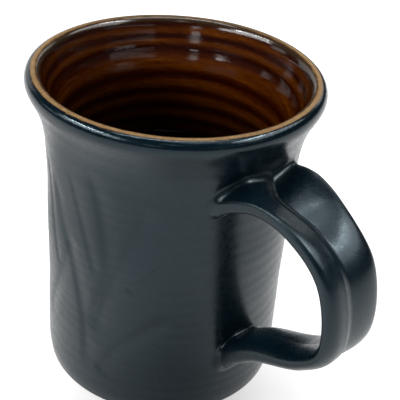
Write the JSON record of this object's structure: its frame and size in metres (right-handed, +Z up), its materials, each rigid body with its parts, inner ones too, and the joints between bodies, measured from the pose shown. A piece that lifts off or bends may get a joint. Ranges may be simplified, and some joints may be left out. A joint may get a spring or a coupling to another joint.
{
  "type": "stoneware mug",
  "caption": "Wheel-thrown stoneware mug with a flared lip, a pulled strap handle, a satin slate outer glaze and a glossy amber liner.",
  "frame": {"origin": "centre of the flat base, on the mug's axis, on the surface that it stands on", "axes": "+Z up along the mug's axis, +X towards the handle, +Y to the side"},
  "size_m": [0.1306, 0.0928, 0.108],
  "materials": {
    "fired_clay": "bare fired stoneware, matt and slightly gritty",
    "handle_clay": "bare fired stoneware under the handle's glaze",
    "joint_glaze": "satin slate-black glaze over luted clay",
    "slate_glaze": "satin slate-black glaze with fine speckle",
    "handle_slate_glaze": "satin slate-black glaze with soft sheen",
    "amber_glaze": "glossy dark amber-brown glaze",
    "rim_break": "thin tan glaze that breaks over the rim"
  },
  "bodies": {
    "root": {"stoneware_body": "fired_clay", "handle_strap": "handle_clay", "upper_joint_collar": "joint_glaze", "lower_joint_collar": "joint_glaze", "exterior_glaze": "slate_glaze", "handle_glaze": "handle_slate_glaze", "interior_glaze": "amber_glaze", "rim_band": "rim_break"}
  },
  "joints": []
}
